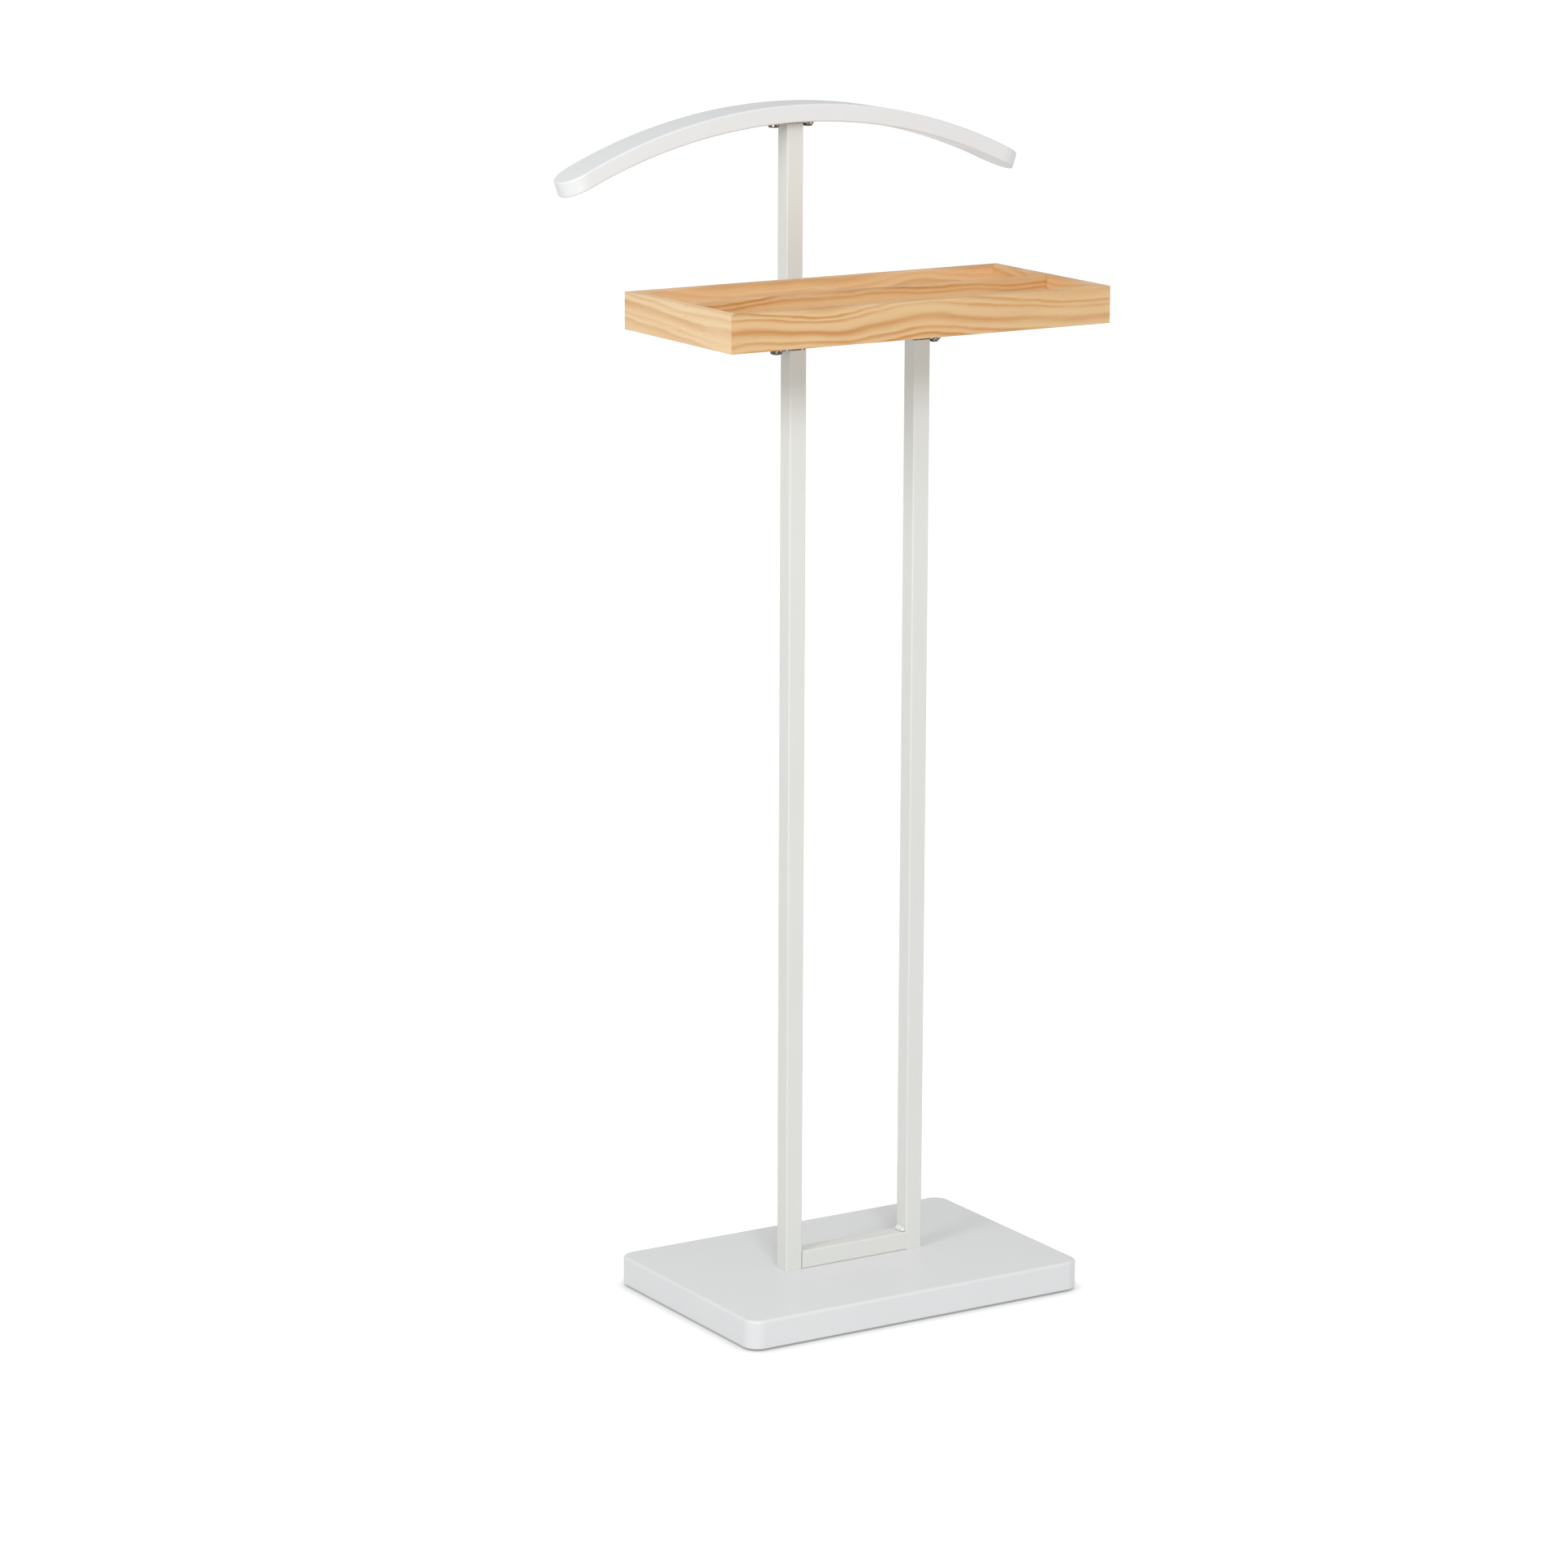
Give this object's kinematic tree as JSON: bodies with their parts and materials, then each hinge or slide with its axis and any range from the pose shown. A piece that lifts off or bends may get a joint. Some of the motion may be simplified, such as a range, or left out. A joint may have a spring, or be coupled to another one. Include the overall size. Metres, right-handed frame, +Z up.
{
  "type": "valet stand",
  "caption": "Free-standing valet stand: slab base, slim square uprights, divided wooden tray and a curved coat hanger on a bent rear post.",
  "frame": {"origin": "on the floor, under the centre of the footprint, which runs from the front of the base to the back of the hanger", "axes": "+X to the right seen from the front, +Y to the back where the hanger post stands, +Z up"},
  "size_m": [0.456, 0.236, 1.02],
  "materials": {
    "white_lacquer": "satin white lacquer on fibreboard",
    "white_powder_coat": "fine satin powder coat on steel tube",
    "pine": "clear satin lacquer on knot-free pine",
    "nickel_plated_steel": "dark nickel plate",
    "dark_nylon": "moulded matte nylon",
    "felt": "pressed wool felt"
  },
  "bodies": {
    "root": {"base_plate": "white_lacquer", "felt_pad_front_left": "felt", "felt_pad_front_right": "felt", "felt_pad_back_left": "felt", "felt_pad_back_right": "felt", "left_upright": "white_powder_coat", "left_upright_top_plate": "nickel_plated_steel", "left_foot_insert": "dark_nylon", "left_bolt_washer": "nickel_plated_steel", "left_base_bolt": "nickel_plated_steel", "right_upright": "white_powder_coat", "right_upright_top_plate": "nickel_plated_steel", "right_foot_insert": "dark_nylon", "right_bolt_washer": "nickel_plated_steel", "right_base_bolt": "nickel_plated_steel", "foot_crossbar": "white_powder_coat", "crossbar_weld_bead": "white_powder_coat", "tray_bearer": "white_powder_coat", "bearer_plug_left": "dark_nylon", "bearer_plug_right": "dark_nylon", "hanger_post": "white_powder_coat", "hanger_plate": "nickel_plated_steel", "tray_front_wall": "pine", "tray_back_wall": "pine", "tray_left_wall": "pine", "tray_right_wall": "pine", "tray_floor": "pine", "tray_divider": "pine", "tray_screw_left": "nickel_plated_steel", "tray_screw_right": "nickel_plated_steel", "tray_screw_rear": "nickel_plated_steel", "hanger_bar": "white_lacquer", "hanger_screw_left": "nickel_plated_steel", "hanger_screw_right": "nickel_plated_steel"}
  },
  "joints": []
}
